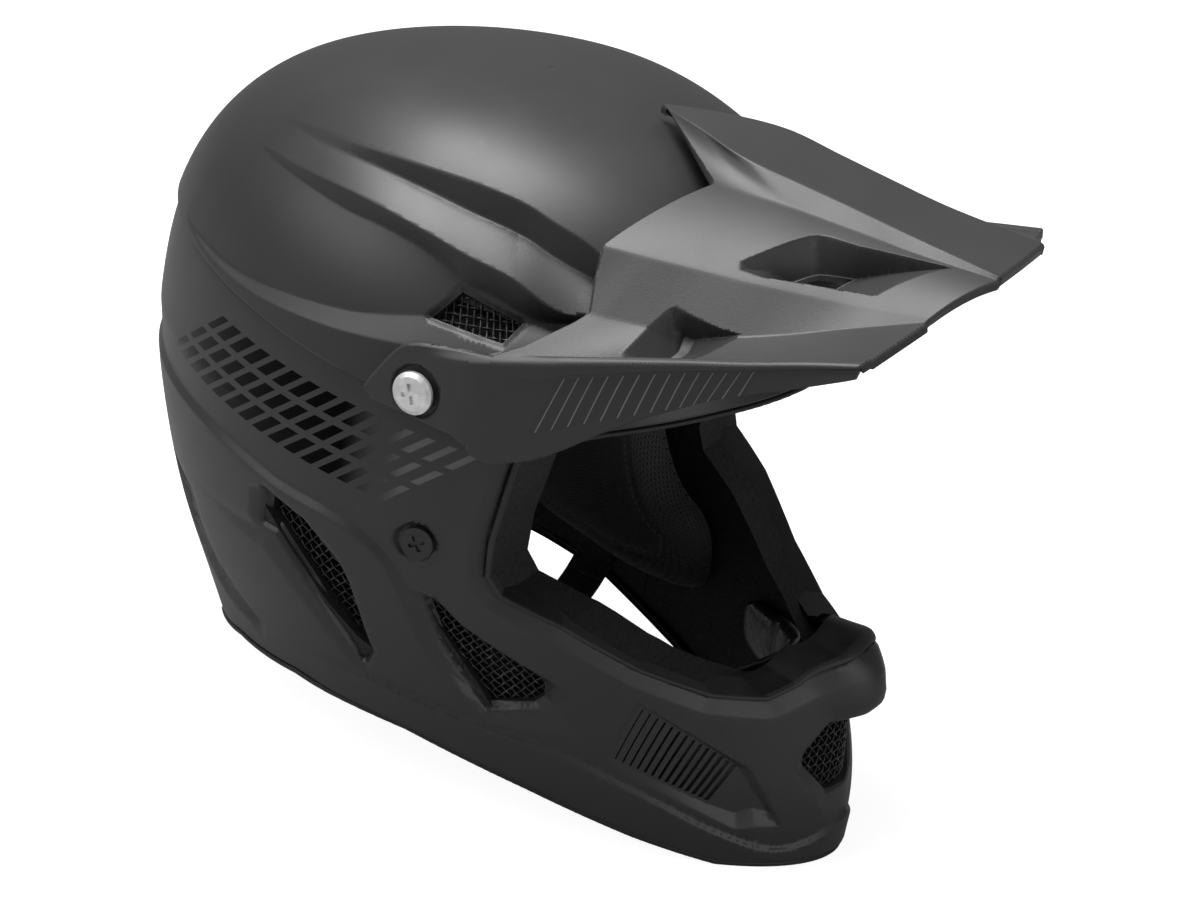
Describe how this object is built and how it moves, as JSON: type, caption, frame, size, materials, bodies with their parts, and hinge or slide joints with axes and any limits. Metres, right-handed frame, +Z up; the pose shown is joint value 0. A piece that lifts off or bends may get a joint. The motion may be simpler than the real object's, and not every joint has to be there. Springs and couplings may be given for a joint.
{
  "type": "full face helmet",
  "caption": "Full face bicycle helmet with a hard shell, chin bar, tilting visor, vent screens, foam liners, pads and a chin strap with rings.",
  "frame": {"origin": "on the table under the middle of the helmet, midway between the front of the visor and the back of the shell", "axes": "+Z up, the wearer looks along -Y, +X to the wearer's left"},
  "size_m": [0.2606, 0.3482, 0.2766],
  "materials": {
    "shell": "matte",
    "foam": "matte",
    "trim": "satin",
    "screen": "satin",
    "visor": "matte",
    "bright_screw": "satin",
    "black_screw": "gloss",
    "spacer": "matte",
    "insert": "satin",
    "fabric": "matte",
    "chin_pad": "gloss",
    "webbing": "matte",
    "ring": "satin"
  },
  "bodies": {
    "helmet": {"crown_shell": "shell", "jaw_shell": "shell", "crown_liner": "foam", "base_liner": "foam", "chin_liner": "foam", "eyeport_gasket": "trim", "base_trim": "trim", "temple_screens": "screen", "rear_screens": "screen", "cheek_screens": "screen", "mouth_screen": "screen", "visor_screw_left": "bright_screw", "visor_screw_right": "bright_screw", "visor_spacers": "spacer", "visor_inserts": "insert", "low_screws": "black_screw", "low_inserts": "insert", "crown_pad": "fabric", "neck_pad": "fabric", "cheek_pad_left": "fabric", "cheek_pad_right": "fabric", "chin_pad": "chin_pad", "strap_left": "webbing", "strap_right": "webbing", "strap_snap": "black_screw"},
    "visor": {"visor": "visor"},
    "outer_ring": {"outer_ring": "ring"},
    "inner_ring": {"inner_ring": "ring"}
  },
  "joints": [
    {"name": "visor_tilt", "type": "hinge", "parent": "helmet", "child": "visor", "pos_m": [0, -0.0053, 0.189], "axis": [1, 0, 0], "range_deg": [-14, 6]},
    {"name": "outer_ring_swing", "type": "hinge", "parent": "helmet", "child": "outer_ring", "pos_m": [0.045, 0.0007, 0.015], "axis": [0, 1, 0], "range_deg": [-20, 50]},
    {"name": "inner_ring_swing", "type": "hinge", "parent": "helmet", "child": "inner_ring", "pos_m": [0.0404, 0.0007, 0.015], "axis": [0, 1, 0], "range_deg": [-20, 50]}
  ]
}
